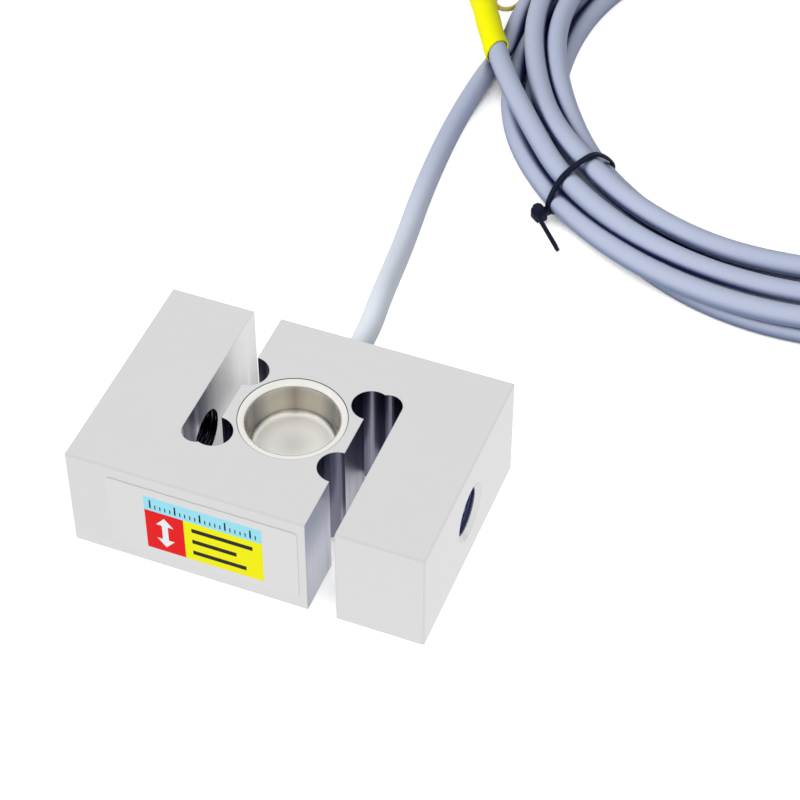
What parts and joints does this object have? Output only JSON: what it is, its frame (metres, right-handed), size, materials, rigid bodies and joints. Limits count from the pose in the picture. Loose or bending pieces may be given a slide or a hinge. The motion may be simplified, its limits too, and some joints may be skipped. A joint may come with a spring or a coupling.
{
  "type": "s type load cell",
  "caption": "S-shaped tension and compression load cell with threaded load holes, a round cover cup on each face and a coiled instrument cable ending in bare cores.",
  "frame": {"origin": "middle of the beam's lower face, which lies on the table", "axes": "+X along the load axis towards the arm whose slot opens at the front, +Y towards the cable, +Z through the beam's thickness, away from the table"},
  "size_m": [0.1941, 0.275, 0.0254],
  "materials": {
    "nickel_body": "satin nickel plate",
    "champagne_cup": "drawn, polished, pale gold",
    "gauge_foil": "polyimide backing with foil",
    "wire_copper": "enamelled copper",
    "board_green": "epoxy glass board",
    "chip_black": "ceramic chip",
    "core_red": "insulated core",
    "core_black": "insulated core",
    "core_green": "insulated core",
    "core_white": "insulated core",
    "core_yellow": "insulated shield lead",
    "seal_rubber": "nitrile rubber",
    "gland_nickel": "nickel-plated brass",
    "cable_grey": "grey PVC jacket",
    "tie_black": "moulded nylon",
    "sleeve_yellow": "heat-shrink sleeve",
    "label_silver": "metallised polyester film"
  },
  "bodies": {
    "root": {"s_body": "nickel_body", "cover_cup_upper": "champagne_cup", "cover_cup_lower": "champagne_cup", "strain_gauge_rear_right": "gauge_foil", "strain_gauge_rear_left": "gauge_foil", "strain_gauge_front_left": "gauge_foil", "strain_gauge_front_right": "gauge_foil", "bridge_wires": "wire_copper", "terminal_board": "board_green", "zero_resistor": "chip_black", "span_resistor": "chip_black", "temperature_resistor": "chip_black", "inner_core_red": "core_red", "inner_core_black": "core_black", "inner_core_green": "core_green", "inner_core_white": "core_white", "gland_washer": "seal_rubber", "gland_body": "gland_nickel", "gland_seal": "seal_rubber", "gland_nut": "gland_nickel", "cable_entry": "cable_grey", "cable_lead": "cable_grey", "cable_tail": "cable_grey", "cable_coil": "cable_grey", "cable_tie": "tie_black", "end_sleeve": "sleeve_yellow", "end_core_red": "core_red", "end_core_black": "core_black", "end_core_green": "core_green", "end_core_white": "core_white", "end_core_shield": "core_yellow", "label_film": "label_silver"}
  },
  "joints": []
}
